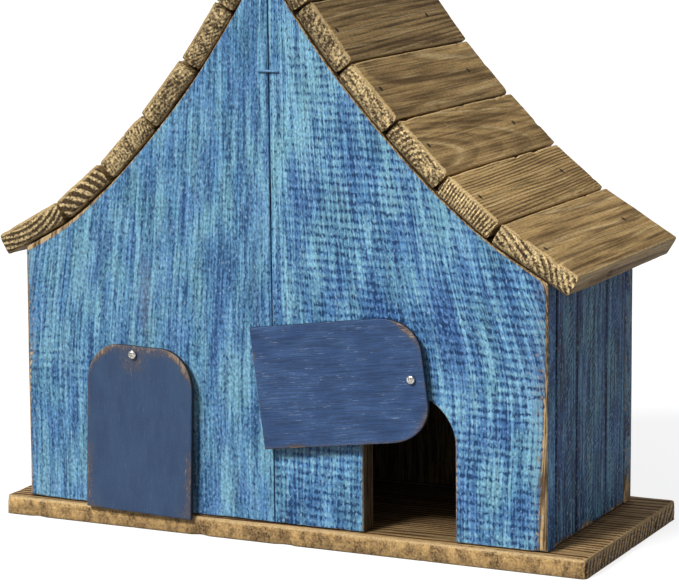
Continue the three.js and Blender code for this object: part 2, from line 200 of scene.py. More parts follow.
class Board:
    """A flat board built on a grid. u runs across the grain, w along it and d down from the outer face.

    The grid may be bent to an outline and may leave cells out, as at a doorway.
    """

    def __init__(self, u, w, thickness, keep=None, depth_lines=None):
        rows, columns = u.shape
        keep = np.ones((rows - 1, columns - 1), bool) if keep is None else keep
        index = np.arange(rows * columns).reshape(rows, columns)
        corners = [index[:-1, :-1], index[1:, :-1], index[1:, 1:], index[:-1, 1:]]
        cells = np.stack([c[keep] for c in corners], axis=1)
        flat = np.stack([u.ravel(), w.ravel()], axis=1)
        a, b, c = flat[cells[0, 0]], flat[cells[0, 1]], flat[cells[0, 2]]
        if (b - a)[0] * (c - a)[1] - (b - a)[1] * (c - a)[0] < 0:
            cells = cells[:, ::-1]
        edges = np.concatenate([np.stack([cells[:, k], cells[:, (k + 1) % 4]], axis=1) for k in range(4)])
        forward = edges[:, 0] * len(flat) + edges[:, 1]
        backward = edges[:, 1] * len(flat) + edges[:, 0]
        rim = edges[~np.isin(forward, backward)]
        tangent = normalised(flat[rim[:, 1]] - flat[rim[:, 0]])
        outward = np.zeros_like(flat)
        for end in range(2):
            np.add.at(outward, rim[:, end], np.stack([tangent[:, 1], -tangent[:, 0]], axis=1))
        outward = normalised(outward)

        lines = spread(thickness, 2.2) if depth_lines is None else np.asarray(depth_lines)
        used, rim_nodes = np.unique(cells), np.unique(rim)
        # Each layer: its nodes, its depth, and 1 on the outer face, 0 round the edge or -1 on the inner face.
        layers = [(used, 0.0, 1), *((rim_nodes, depth, 0) for depth in lines[1:-1]), (used, thickness, -1)]
        lookups, start = [], 0
        for nodes, _, _ in layers:
            lookups.append(np.full(len(flat), -1))
            lookups[-1][nodes] = np.arange(start, start + len(nodes))
            start += len(nodes)
        faces = [lookups[0][cells], lookups[-1][cells[:, ::-1]]]
        for above, below in zip(lookups[:-1], lookups[1:]):
            quad = above[rim[:, 1]], above[rim[:, 0]], below[rim[:, 0]], below[rim[:, 1]]
            faces.append(np.stack(quad, axis=1))
        nodes, depths, sides = zip(*layers)
        counts = [len(n) for n in nodes]
        nodes = np.concatenate(nodes)
        self.points = np.column_stack([flat[nodes], np.repeat(depths, counts)])
        self.side = np.repeat(sides, counts)
        self.faces = np.concatenate(faces)
        self.thickness = thickness
        self.inset = self._inset(flat, rim, outward, nodes)
        self.attributes = {}

    def _inset(self, flat, rim, outward, nodes):
        """How far each point lies inside the outline. Also sets which way the nearest edge faces."""
        samples, normals = [], []
        for a, b in rim:
            count = max(1, int(np.linalg.norm(flat[b] - flat[a]) / 0.3))
            for k in range(count):
                share = k / count
                samples.append(flat[a] * (1 - share) + flat[b] * share)
                normals.append(outward[a] * (1 - share) + outward[b] * share)
        tree = kdtree.KDTree(len(samples))
        for i, (x, y) in enumerate(samples):
            tree.insert((x, y, 0), i)
        tree.balance()
        inset = np.zeros(len(flat))
        for node in np.unique(nodes):
            _, nearest, distance = tree.find((*flat[node], 0))
            inset[node] = distance
            if distance > 1e-6:
                outward[node] = normals[nearest]
        self.outward = outward[nodes]
        return inset[nodes]

    def round_edges(self, radius):
        """Rounds every long edge and corner to the radius given for each point, in mm."""
        depth = self.points[:, 2]
        to_face = np.minimum(depth, self.thickness - depth)
        a, b = radius - self.inset, radius - to_face
        near = (a > 0) & (b > 0)
        length = np.hypot(a, b)
        pull = np.where(near, np.maximum(0, 1 - radius / np.maximum(length, 1e-9)), 0)
        sign = np.where(depth < self.thickness / 2, 1, -1)
        self.points[:, :2] -= self.outward * (a * pull)[:, None]
        self.points[:, 2] += sign * (b * pull)
        flat_part = np.where(near, a / np.maximum(length, 1e-9), (self.side == 0).astype(float))
        deep_part = np.where(near, b / np.maximum(length, 1e-9), (self.side != 0).astype(float))
        self.normal = np.column_stack([self.outward * flat_part[:, None], -sign * deep_part])

    def sink(self, amount):
        """Moves each point into the board by its own amount, in mm."""
        self.points -= self.normal * np.maximum(amount, 0)[:, None]

    def __getitem__(self, name):
        return self.attributes[name]

    def __setitem__(self, name, values):
        self.attributes[name] = np.asarray(values, np.float32)

    def fill(self, **values):
        """Gives every point the same value of each attribute."""
        for name, value in values.items():
            self[name] = np.full(len(self.points), value)

    def build(self, name, axes, origin, node, slot, finish=None, body="house"):
        """Makes the object. axes are the directions of u, w and d in the row frame, and origin is in mm."""
        place = np.array([tuple(axis) for axis in axes])
        world = (self.points @ place + np.array(origin)) * MM
        faces = self.faces
        if np.linalg.det(place) > 0:
            faces = faces[:, ::-1]
        mesh = bpy.data.meshes.new(name)
        mesh.vertices.add(len(world))
        mesh.vertices.foreach_set("co", world.astype(np.float32).ravel())
        mesh.loops.add(faces.size)
        mesh.loops.foreach_set("vertex_index", faces.astype(np.int32).ravel())
        mesh.polygons.add(len(faces))
        mesh.polygons.foreach_set("loop_start", np.arange(0, faces.size, 4, dtype=np.int32))
        mesh.update(calc_edges=True)
        for key, values in self.attributes.items():
            kind, field = ("FLOAT_VECTOR", "vector") if values.ndim == 2 else ("FLOAT", "value")
            mesh.attributes.new(key, kind, "POINT").data.foreach_set(field, values.ravel())
        add_piece(name, mesh, node, finish or slot, body)


def add_piece(name, mesh, node, finish, body):
    """Makes a finished mesh into the look of one CAD node, and hides that node."""
    mesh.validate()
    mesh.shade_smooth()
    mesh.materials.append(FINISH[finish])
    piece = add_object(name, mesh)
    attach(piece, body)
    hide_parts(node)


def rounded_corners(u, w, corner):
    """Bends the grid of a rectangular board so that its corners are round in plan."""
    across, along = u.max(), w.max()
    in_u = corner - np.minimum(u, across - u)
    in_w = corner - np.minimum(w, along - w)
    length = np.maximum(np.hypot(in_u, in_w), 1e-9)
    scale = np.where((in_u > 0) & (in_w > 0), 1 - np.maximum(in_u, in_w) / length, 0)
    u = u + np.where(u < across / 2, 1, -1) * in_u * scale
    w = w + np.where(w < along / 2, 1, -1) * in_w * scale
    return u, w


def merged(lines, extras, clear=0.45):
    """Adds grid lines, and drops the old ones that crowd them. The two end lines stay."""
    inner = lines[1:-1]
    far = np.min(np.abs(inner[:, None] - extras[None, :]), axis=1) > clear
    return np.sort(np.concatenate([lines[:1], inner[far], extras, lines[-1:]]))


def around(centres, reach=(-1.5, -0.95, -0.6, 0, 0.6, 0.95, 1.5)):
    return np.array([c + r for c in centres for r in reach])


# ---- Node trees ----


def linear(red, green, blue):
    """A colour given from 0 to 255 as a colour picker shows it."""
    def channel(value):
        value /= 255
        return value / 12.92 if value <= 0.04045 else ((value + 0.055) / 1.055) ** 2.4
    return (channel(red), channel(green), channel(blue), 1)


class Value:
    """One number in a node tree, with arithmetic."""

    def __init__(self, shade, socket):
        self.shade, self.socket = shade, socket

    def __add__(self, other):
        return self.shade.math("ADD", self, other)

    def __sub__(self, other):
        return self.shade.math("SUBTRACT", self, other)

    def __rsub__(self, other):
        return self.shade.math("SUBTRACT", other, self)

    def __mul__(self, other):
        return self.shade.math("MULTIPLY", self, other)

    __radd__, __rmul__ = __add__, __mul__


class Shade:
    """Builds one material's node tree from short expressions.

    Its patterns follow the grain, in mm, or the object's own coordinates if local is set.
    """

    def __init__(self, name, local=False, **constants):
        self.material = bpy.data.materials.new(name)
        self.material.use_nodes = True
        self.nodes = self.material.node_tree.nodes
        self.links = self.material.node_tree.links
        self.shader = self.nodes["Principled BSDF"]
        source = self.node("TexCoord") if local else self.node("Attribute", attribute_name="grain")
        self.place = source.outputs["Object" if local else "Vector"]
        set_inputs(self.shader, **constants)

    def set(self, socket, value):
        if isinstance(value, Value):
            self.links.new(value.socket, socket)
        elif hasattr(value, "is_output"):
            self.links.new(value, socket)
        else:
            socket.default_value = value

    def node(self, kind, *values, **settings):
        """A new node with its settings, and with its first sockets set in order."""
        node = self.nodes.new("ShaderNode" + kind)
        for key, setting in settings.items():
            setattr(node, key, setting)
        for socket, value in zip(node.inputs, values):
            self.set(socket, value)
        return node

    def math(self, operation, *values):
        return Value(self, self.node("Math", *values, operation=operation).outputs[0])

    def read(self, name):
        return Value(self, self.node("Attribute", attribute_name=name).outputs["Fac"])

    def along(self, axis):
        """How far along one axis of the grain a point lies, in mm."""
        return Value(self, self.node("SeparateXYZ", self.place).outputs[axis])

    def plane(self, first, second):
        """A place made from two values."""
        return self.node("CombineXYZ", first, second).outputs[0]

    def noise(self, size, detail, roughness, shift=0.0, place=None):
        """Noise with features about half the given size, at the material's own place or at another."""
        factors = [1 / s for s in size]
        scale = self.node("VectorMath", place or self.place, factors, (shift,) * 3, operation="MULTIPLY_ADD")
        node = self.node("TexNoise", scale.outputs[0])
        set_inputs(node, Scale=1.0, Detail=detail, Roughness=roughness)
        return Value(self, node.outputs["Fac"])

    def step(self, value, low, high, start=0.0, end=1.0):
        """A smooth rise from start to end while value goes from low to high."""
        node = self.node("MapRange", value, low, high, start, end, interpolation_type="SMOOTHSTEP")
        return Value(self, node.outputs[0])

    def mix(self, share, first, second):
        """A blend of two colours, each a socket or three numbers from 0 to 255."""
        node = self.node("Mix", share, data_type="RGBA")
        for socket, colour in zip(node.inputs[6:8], (first, second)):
            self.set(socket, linear(*colour) if isinstance(colour, tuple) else colour)
        return node.outputs[2]

    def scaled(self, colour, factor):
        """The colour made lighter or darker by a factor near 1."""
        node = self.node("VectorMath", colour, operation="SCALE")
        self.set(node.inputs["Scale"], factor)
        return node.outputs[0]

    def bump(self, height):
        """height is in mm."""
        node = self.node("Bump")
        set_inputs(node, Distance=MM)
        self.set(node.inputs["Height"], height)
        self.links.new(node.outputs[0], self.shader.inputs["Normal"])

    def finish(self, colour, roughness):
        self.set(self.shader.inputs["Base Color"], colour)
        self.set(self.shader.inputs["Roughness"], roughness)
        return self.material


RAW_LIGHT = (208, 178, 132)
RAW_DARK = (96, 72, 46)


def raw_wood(shade, light=RAW_LIGHT, dark=RAW_DARK):
    """Colour of sanded or unpainted wood."""
    fibre = shade.noise((1.15, 24, 1.15), 2, 0.6)
    patch = shade.noise((5, 26, 5), 2, 0.5, 7.1)
    return shade.mix(shade.step(fibre * 0.7 + patch * 0.3, 0.4, 0.6), dark, light)


def painted_wood(name, light, medium, dark, ink, streaks):
    """A dark coat brushed over with a light one. The light coat catches on the saw marks and the grain."""
    s = Shade(name, Specular_IOR_Level=0.25)
    saw, chatter = s.read("saw"), s.read("chatter")
    dash = s.noise((1.1, 4.2, 1.6), 2, 0.6, 1.3)
    grit = s.noise((1.2, 1.9, 1.2), 1, 0.5, 25.1)
    line = s.noise((1.35, 34, 3), 1.5, 0.5, 12.5)
    streak = s.noise((3.4, 60, 9), 3, 0.5, 5.9)
    broad = s.noise((13, 38, 20), 3, 0.5, 9.4)
    tint = s.noise((15, 32, 15), 2, 0.5, 33.3)
    across = s.along(0)
    row = s.noise((9, 2.6, 1), 2, 0.55, 3.7, s.plane(across, saw))
    knot = s.noise((1.7, 2.2, 1), 1, 0.5, 41.9, s.plane(across, saw))
    ridge = s.math("SINE", (saw + (row - 0.5) * 2.4) * (2 * pi / SAW_PITCH))
    weave = s.math("SINE", (across + (knot - 0.5) * 2.0) * (2 * pi / WEAVE_PITCH))
    stitch = ((row - 0.5) * 1.1 + ridge * 0.2) * chatter
    wash = (broad - 0.5) * 1.9 + ((streak - 0.5) * 1.9 + (line - 0.5) * 1.5) * streaks
    wash = wash + stitch + s.read("tone")
    blue = s.mix(s.step(wash, -0.8, 0.0), dark, medium)
    blue = s.mix(s.step(wash, -0.1, 0.6), blue, light)
    blue = s.mix(s.step(tint, 0.5, 0.68) * 0.3, blue, (110, 164, 172))
    blue = s.mix(s.step(tint, 0.32, 0.5, 1.0, 0.0) * 0.28, blue, (84, 122, 186))
    blue = s.scaled(blue, s.step(grit, 0.3, 0.7, 0.7, 1.24))
    blue = s.scaled(blue, s.step(line, 0.32, 0.68, 0.8, 1.2))
    woven = (ridge * 0.28 + weave * 0.11 + (knot - 0.5) * 0.8) * chatter
    mark = (dash - 0.5) * 2.4 + (grit - 0.5) * 1.5 + (line - 0.5) * (0.9 * streaks) + woven + wash * 0.3
    dashed = s.step(mark, -0.58, -0.16, 1.0, 0.0)
    blue = s.mix(dashed * 0.9, blue, ink)
    fleck = s.step((grit - 0.5) * 2.4 + (dash - 0.5) * 1.4, 0.36, 0.62)
    blue = s.mix(fleck * 0.4, blue, (190, 218, 232))
    raw = raw_wood(s)
    scuff = s.noise((1.3, 3.6, 1.3), 3, 0.65, 15.2)
    blue = s.mix(s.step(s.read("sanded") + (scuff - 0.5) * 0.9, 0.2, 1.2) * 0.34, blue, (128, 130, 142))
    bare_value = s.read("bare") + (scuff - 0.5) * 0.8 + (grit - 0.5) * 1.3
    bare = s.step(bare_value, 0.45, 0.7)
    halo = s.step(bare_value, 0.2, 0.5)
    worn = s.step(s.read("edge") + (scuff - 0.5) * 2.6, 0.1, 0.5, 1.0, 0.0) * s.read("wear")
    score = s.step(s.read("score") + (dash - 0.5) * 0.9, 0.1, 0.5, 1.0, 0.0) * s.step(streak, 0.4, 0.52)
    raw_share = s.math("MAXIMUM", s.math("MAXIMUM", bare, worn * 0.85), score * 0.3)
    blue = s.mix(halo * 0.5, blue, (116, 112, 112))
    colour = s.mix(raw_share, blue, raw)
    colour = s.mix(score * 0.5, colour, ink)
    # Unpainted faces, inside the house and in the doorways, take bare wood darkened to 0.3: darker raw wood
    # together with painted shade.
    colour = s.mix(s.read("paint"), s.scaled(raw, 0.3), colour)
    raised = dash * 0.25 + grit * 0.1 + streak * 0.2 + stitch * 0.08
    s.bump(raised - dashed * 0.14 - raw_share * 0.08 - score * 0.2)
    return s.finish(colour, s.step(dash, 0.3, 0.7, 0.66, 0.82))


def stained_wood(name, light, dark, end_light, end_dark, worn_light):
    """Solid wood cut from round logs: the growth rings show as lines on the faces and as arcs on the ends."""
    s = Shade(name, Specular_IOR_Level=0.28)
    fibre = s.noise((1.1, 64, 1.1), 3, 0.62, 2.2)
    hair = s.noise((1.0, 48, 1.0), 1, 0.5, 31.7)
    tooth = s.noise((1.1, 2.8, 1.1), 1, 0.5, 71.9)
    gravel = s.noise((1.25, 1.25, 1.25), 1.5, 0.6, 95.3)
    patch = s.noise((7, 90, 7), 2.5, 0.6, 6.1)
    speck = s.noise((0.62, 0.62, 0.62), 2, 0.7, 8.8)
    crumb = s.noise((1.3, 1.3, 1.3), 3, 0.7, 21.4)
    clump = s.noise((6, 6, 11), 3, 0.6, 44.2)
    layer = s.noise((9, 4, 1.5), 3, 0.65, 83.1)
    end, figure, mottle = s.read("end"), s.read("figure"), s.read("mottle")
    ring = s.math("FRACT", s.read("ring") + (fibre - 0.5) * 0.25 + (crumb - 0.5) * 0.6 * end)
    late = s.step(ring, 0.25, 0.8) * s.step(ring, 0.88, 1.0, 1.0, 0.0)
    face_dark = (late - 0.35) * figure + (fibre - 0.5) * 1.5 + (0.5 - patch) * 2.0
    face = s.mix(s.step(face_dark, -0.5, 0.65), light, dark)
    sparse = s.math("FRACT", s.read("ring") * 0.37 + (fibre - 0.5) * 0.12)
    crest = s.step(sparse, 0.84, 0.92) * s.step(sparse, 0.93, 1.0, 1.0, 0.0) * s.step(patch, 0.4, 0.55)
    face = s.mix(crest * 0.5, face, worn_light)
    face = s.scaled(face, s.step(tooth, 0.3, 0.7, 0.84, 1.16))
    silver = s.step(hair, 0.6, 0.72) * s.step(patch, 0.38, 0.6)
    face = s.mix(silver * 0.5, face, worn_light)
    furrow = s.step(hair, 0.28, 0.4, 1.0, 0.0)
    face = s.mix(furrow * 0.5, face, end_dark)
    across, along = s.along(0), s.along(1)
    slanted = s.plane(across * 0.8 + along * 0.6, along * 0.8 - across * 0.6)
    slant = s.noise((0.32, 8, 1), 1, 0.5, 61.3, slanted)
    scratch = s.step(slant, 0.72, 0.76) * s.step(crumb, 0.42, 0.52)
    face = s.mix(scratch * 0.55, face, worn_light)
    blotch = s.step(clump * 0.7 + gravel * 0.12 + fibre * 0.18, 0.35, 0.63)
    dapple = s.mix(s.step(gravel, 0.36, 0.6), s.mix(0.35, dark, end_dark), s.mix(0.55, dark, light))
    smear = s.scaled(s.mix(blotch, dapple, end_light), s.step(crumb, 0.35, 0.65, 0.74, 1.18))
    face = s.mix(mottle * 0.9, face, smear)
    end_value = (late - 0.45) * s.read("end_figure") - s.read("stain")
    end_value = end_value + (layer - 0.5) * 1.3 + (clump - 0.5) * 1.6 + (gravel - 0.5) * 1.5
    cut = s.mix(s.step(end_value, -0.5, 0.5), s.mix(0.35, dark, end_dark), end_light)
    cut = s.scaled(cut, s.step(gravel * 0.65 + crumb * 0.35, 0.36, 0.64, 0.45, 1.5))
    colour = s.mix(end, face, cut)
    scuff = s.noise((1.2, 3.5, 1.2), 3, 0.65, 15.2)
    worn = s.step(s.read("edge") + (scuff - 0.5) * 3.6, 0.6, 1.8, 1.0, 0.0) * s.read("wear")
    colour = s.mix(worn * 0.75, colour, s.mix(s.step(speck, 0.42, 0.58), light, worn_light))
    pit = s.step(crumb * 0.6 + speck * 0.4, 0.36, 0.42, 1.0, 0.0) * s.math("MAXIMUM", end, mottle * 0.5)
    colour = s.mix(pit * 0.85, colour, (38, 27, 14))
    nick = s.step(s.noise((0.7, 2.6, 0.7), 2, 0.5, 51.3), 0.72, 0.76)
    colour = s.mix(nick * 0.8, colour, (46, 34, 20))
    hole = s.step(s.read("nail"), 0.25, 0.7)
    colour = s.mix(hole * 0.9, colour, (24, 17, 10))
    # shade scales the colour: the stain's lightness, with painted shade on the lower edges and, on the base,
    # indoors and on its ends.
    colour = s.scaled(colour, s.read("shade"))
    s.bump(fibre * 0.2 - late * 0.08 + crumb * end * 0.6 + speck * 0.14 + clump * mottle * 0.6 - nick * 0.3)
    return s.finish(colour, s.step(fibre, 0.3, 0.7, 0.62, 0.84))


def door_paint(name, paint, deep, strength):
    """Smooth paint on thin board, rubbed to the wood at the edges, with fine scratches."""
    s = Shade(name, Specular_IOR_Level=0.3)
    cloud = s.noise((9, 22, 9), 3, 0.6, 4.4)
    tooth = s.noise((0.5, 0.9, 0.5), 2, 0.6, 1.9)
    hair = s.noise((0.3, 8, 2), 2, 0.55, 11.6)
    graze = s.noise((0.55, 15, 4), 2, 0.6, 17.3)
    colour = s.mix(s.step(cloud, 0.3, 0.7), deep, paint)
    colour = s.scaled(colour, s.step(tooth, 0.3, 0.7, 0.88, 1.12))
    colour = s.scaled(colour, s.step(graze, 0.3, 0.7, 1 - 0.34 * strength, 1 + 0.34 * strength))
    scratch = s.step(hair, 0.64, 0.74) * s.step(cloud, 0.4, 0.52)
    colour = s.mix(scratch * strength, colour, (160, 178, 204))
    scuff = s.noise((0.8, 2.4, 0.8), 4, 0.75, 15.2)
    rub = s.read("rub") + (scuff - 0.5) * 1.9
    thin = s.step(rub, 0.28, 0.6)
    bare = s.step(rub, 0.58, 0.9)
    colour = s.mix(thin * 0.6, colour, (92, 84, 86))
    colour = s.mix(bare * 0.8, colour, raw_wood(s, (178, 154, 128), (92, 76, 66)))
    # Near black on the marked side faces and back: dark edge paint together with painted shade.
    colour = s.mix(s.read("rim") * 0.9, colour, (18, 19, 24))
    s.bump(tooth * 0.05 - scratch * 0.06 - bare * 0.12 + cloud * 0.15)
    return s.finish(colour, s.step(cloud, 0.3, 0.7, 0.5, 0.64))


def metal(name, bright, dull, roughness, metallic, size=0.0012):
    """Wire or screw steel with spots and scratches."""
    s = Shade(name, local=True, Metallic=metallic)
    spots = s.noise((size,) * 3, 3, 0.7)
    fine = s.noise((size / 5,) * 3, 2, 0.6)
    colour = s.mix(s.step(spots, 0.38, 0.62), dull, bright)
    s.bump(spots * 0.03 + fine * 0.02)
    return s.finish(colour, s.step(fine, 0.3, 0.7, roughness, roughness + 0.2))


SAW_PITCH = 4.5  # mm between the marks that the saw left across the boards
WEAVE_PITCH = 1.8  # mm between the short strokes that cross them

FINISH = {
    "front_left": painted_wood(
        "front_left_paint", (120, 170, 197), (83, 133, 175), (57, 101, 150), (34, 74, 118), 1.0
    ),
    "front_right": painted_wood(
        "front_right_paint", (130, 182, 207), (80, 130, 177), (46, 91, 148), (22, 58, 98), 0.9
    ),
    "side_paint": painted_wood(
        "side_paint", (92, 138, 168), (54, 94, 142), (34, 62, 112), (10, 24, 50), 1.8
    ),
    "base_wood": stained_wood(
        "base_wood", (186, 150, 100), (84, 58, 31), (224, 182, 118), (50, 34, 18), (230, 202, 150)
    ),
    "roof_wood": stained_wood(
        "roof_wood", (184, 151, 97), (97, 73, 39), (226, 198, 144), (50, 34, 17), (226, 200, 150)
    ),
    "left_door": door_paint("left_door_paint", (55, 79, 111), (47, 69, 101), 0.2),
    "right_door": door_paint("right_door_paint", (58, 86, 128), (42, 68, 108), 0.85),
    "dark_steel": metal("dark_steel", (92, 82, 72), (44, 36, 28), 0.42, 0.9),
    "bright_steel": metal("bright_steel", (226, 226, 222), (150, 146, 138), 0.22, 1.0, 0.0006),
    "painted_staple": metal("painted_staple", (118, 166, 200), (82, 130, 172), 0.7, 0.0, 0.0008),
}


# ---- Reading the CAD pieces ----


def cad_points(node):
    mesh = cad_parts[node].data
    points = np.zeros(len(mesh.vertices) * 3, np.float32)
    mesh.vertices.foreach_get("co", points)
    return points.reshape(-1, 3).astype(float) / MM


def cad_box(node):
    low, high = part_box(node)
    return np.array(low) / MM, np.array(high) / MM


def middle(node):
    return sum(cad_box(node)) / 2


# ---- Roof planks ----


def plank_frame(node):
    """The way up a plank's slope and the way out of its outer face."""
    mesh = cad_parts[node].data
    best = max((p for p in mesh.polygons if abs(p.normal.y) < 0.1 and p.normal.z > 0.1), key=lambda p: p.area)
    out = np.array(best.normal)
    out[1] = 0
    out /= np.linalg.norm(out)
    up = np.array([-out[2], 0, out[0]]) if out[0] > 0 else np.array([out[2], 0, -out[0]])
    return up, out


# Where each plank was cut from its log: the centre of the rings across the plank and below its face,
# how far that centre drifts per mm along the plank, the ring spacing, how strongly the rings show on
# the face and on the ends, how light the stain is, and how much darker it is on the ends.
PLANK_CUTS = {
    "left_1": ((16, -36), (0.02, 0), 3.1, 0.5, 1.1, 0.95, 0.1),
    "left_2": ((-40, 52), (0.03, 0.02), 3.9, 0.5, 1.5, 0.95, 0.25),
    "left_3": ((60, 22), (0, 0.05), 1.9, 0.5, 0.3, 0.86, 0.05),
    "left_4": ((10, 90), (0.05, 0), 2.0, 0.45, 0.3, 0.8, 0.05),
    "left_5": ((-30, 60), (0.02, 0.03), 1.8, 0.5, 0.3, 0.84, 0.05),
    "left_6": ((70, 40), (0, 0), 2.1, 0.5, 0.3, 0.82, 0.05),
    "right_1": ((66, 62), (0.06, -0.05), 3.4, 0.42, 0.9, 1.0, -0.1),
    "right_2": ((-130, 8), (0.02, 0), 1.8, 0.9, 1.0, 1.15, 0.1),
    "right_3": ((9, 13), (-0.05, 0.11), 3.4, 0.34, 0.45, 1.08, 0.05),
    "right_4": ((30, 44), (0.1, -0.06), 3.8, 0.5, 0.35, 1.02, 0.05),
    "right_5": ((62, 26), (0.04, 0.02), 2.8, 0.7, 0.35, 0.84, 0.05),
    "right_6": ((12, 50), (0.03, 0.05), 2.4, 0.5, 0.35, 0.8, 0.05),
}


def wood_attributes(board, seed, centre, drift, spacing, figure, end_figure, tone, stain):
    """The growth rings of a solid board, its grain position and the state of its surface."""
    points = board.points
    u, w, d = points.T
    lift = layered(points + seed * 91.7, (40, 160, 40), seed, 2)
    sway = layered(points + seed * 57.3, (30, 120, 30), seed + 5, 2)
    across = u - centre[0] - drift[0] * w + 5 * sway
    below = d - centre[1] - drift[1] * w + 3.5 * lift
    board["ring"] = np.hypot(across, below) / spacing
    board["grain"] = points + np.array([seed * 37.7, seed * 211.3, seed * 5.9])
    to_face = np.minimum(d, board.thickness - d)
    board["edge"] = np.where(board.side == 0, np.minimum(d * 0.7, to_face + 1.2), board.inset)
    board["figure"] = figure * (0.75 + 0.5 * layered(points, (14, 50, 14), seed + 9, 2))
    board["shade"] = tone * (1 + 0.1 * layered(points, (18, 55, 18), seed + 12, 2))
    # Painted shade: edges and ends are darkened by up to 0.36 towards the lower face.
    painted_shade_low_end = (board.side == 0) * ramp(0.25, 0.95, d / board.thickness)
    board["shade"] *= (1 - 0.36 * painted_shade_low_end).astype(np.float32)
    board["end"] = ramp(0.6, 0.85, np.abs(board.outward[:, 1])) * (board.side == 0)
    board["wear"] = board.side >= 0
    board.fill(end_figure=end_figure, stain=stain, nail=0, mottle=0)


def relief(points, seed, wave_size, furrow_size, chip_size):
    """Slow waves, fine furrows, saw marks and chips in a board's surface."""
    waves, furrows = unit(points, wave_size, seed + 30), unit(points, furrow_size, seed + 33, 2)
    return waves, furrows, unit(points, (3.4, 3.4, 3.4), seed + 36), layered(points, chip_size, seed + 41, 2)


def make_plank(key, seed, brads):
    node = key.replace("_", "_roof_plank_", 1)
    up, out = plank_frame(node)
    points = cad_points(node)
    along_up, depth = points @ up, -(points @ out)
    depth -= depth.min()
    thickness = depth.max()
    face = depth < thickness * 0.1
    lining = depth > thickness * 0.9
    foot, head = along_up[face].min(), along_up[face].max()
    inner_foot, inner_head = along_up[lining].min(), along_up[lining].max()
    front, back = points[:, 1].min(), points[:, 1].max()
    origin = up * foot + out * (points @ out).max() + np.array([0, front, 0])
    width, length = head - foot, back - front

    spots = [((middle(b) - origin) @ up, middle(b)[1] - front) for b in brads]
    # A brad leans with the plank's normal, so its middle lies straight below its head.
    u_lines = merged(spread(width, 1.5), around([s[0] for s in spots[:1]]))
    w_lines = merged(spread(length, 1.75), around([s[1] for s in spots]))
    u, w = np.meshgrid(u_lines, w_lines, indexing="ij")
    board = Board(u, w, thickness)
    p = board.points
    across, along, deep = p.T
    wood_attributes(board, seed, *PLANK_CUTS[key])

    radius = 1.3 + 0.8 * layered(p, (9, 14, 9), seed + 20, 2)
    at_end = ramp(2.4, 0.0, np.minimum(along, length - along))
    front_joint = ramp(26, 0, along) * (board.outward[:, 0] != 0)
    board.round_edges(np.clip(radius + 0.7 * at_end + 1.3 * front_joint, 0.5, 3.4))
    waves, furrows, sawn, chips = relief(p, seed, (13, 70, 13), (2.6, 60, 6), (7, 9, 7))
    sink = 0.28 * waves + 0.2 * furrows + 0.55 * sawn * board["end"]
    sink += 0.9 * ramp(0.35, 0.75, chips) * (board.inset < 2.5) * (board.side >= 0)
    apart = np.min([np.hypot(across - x, along - y) for x, y in spots], axis=0)
    hole = ramp(1.0, 0.62, apart) * (board.side == 1)
    bruise = ramp(2.0, 1.0, apart) * (board.side == 1)
    board.sink(np.where(hole > 0, 0.2 + 0.42 * hole, sink))
    board["nail"] = bruise

    slide = across / width  # the edges of the plank are bevelled to meet its neighbours
    across += deep / thickness * ((inner_foot - foot) * (1 - slide) + (inner_head - head) * slide)
    board.build(f"{key}_plank_wood", (up, (0, 1, 0), -out), origin, node, "roof_wood")


# ---- Walls ----

# The middle of each doorway, the radius of its arch and the height where the arch starts.
DOORWAY = {"left": -82, "right": 71.1, "radius": 25.7, "spring": 60}
GRID_SPLIT = 49.2  # how far up a gable board with no doorway its level grid lines end


def wall_attributes(board, seed, lean):
    """The grain and edges of a wall board. lean(x, z) is how far the grain has drifted sideways there."""
    p = board.points
    x, z, deep = p.T
    board["grain"] = np.column_stack([x + lean(x, z), z, deep]) + seed * 83.1
    to_face = np.minimum(deep, board.thickness - deep)
    board["edge"] = np.where(board.side == 0, to_face, board.inset)
    board.fill(tone=0, chatter=0, bare=0, sanded=0, wear=1, score=99)
    board["saw"] = z + 1.1 * layered(p, (26, 40, 26), seed + 3, 2)


def spot(points, x, z, reach_x, reach_z):
    """1 at a place on a wall, falling to 0 at the given distances from it."""
    away = np.hypot((points[:, 0] - x) / reach_x, (points[:, 1] - z) / reach_z)
    return ramp(1.0, 0.0, away)


def gable_outline(node, wall_side, outer_y):
    """The gable board's outer edge, foot height, joint edge and its lean, and the x and z of its top edge."""
    points = cad_points(node)
    face = points[np.abs(points[:, 1] - outer_y) < 0.05]
    floor = face[:, 2].min()
    outer = face[:, 0].min() if wall_side < 0 else face[:, 0].max()
    corner = face[np.abs(face[:, 0] - outer) < 0.05][:, 2].max()
    peak = face[face[:, 2].argmax()]
    chord = corner + (face[:, 0] - outer) * (peak[2] - corner) / (peak[0] - outer)
    top = face[(face[:, 2] > chord - 30) & (face[:, 2] > corner - 0.01)]
    top = top[np.argsort(top[:, 0])]
    foot = face[np.abs(face[:, 2] - floor) < 0.05][:, 0]
    joint_foot = foot.max() if wall_side < 0 else foot.min()
    joint_top = top[-1 if wall_side < 0 else 0]
    lean = (joint_top[0] - joint_foot) / (joint_top[2] - floor)
    return outer, floor, joint_foot, lean, top[:, 0], top[:, 2]


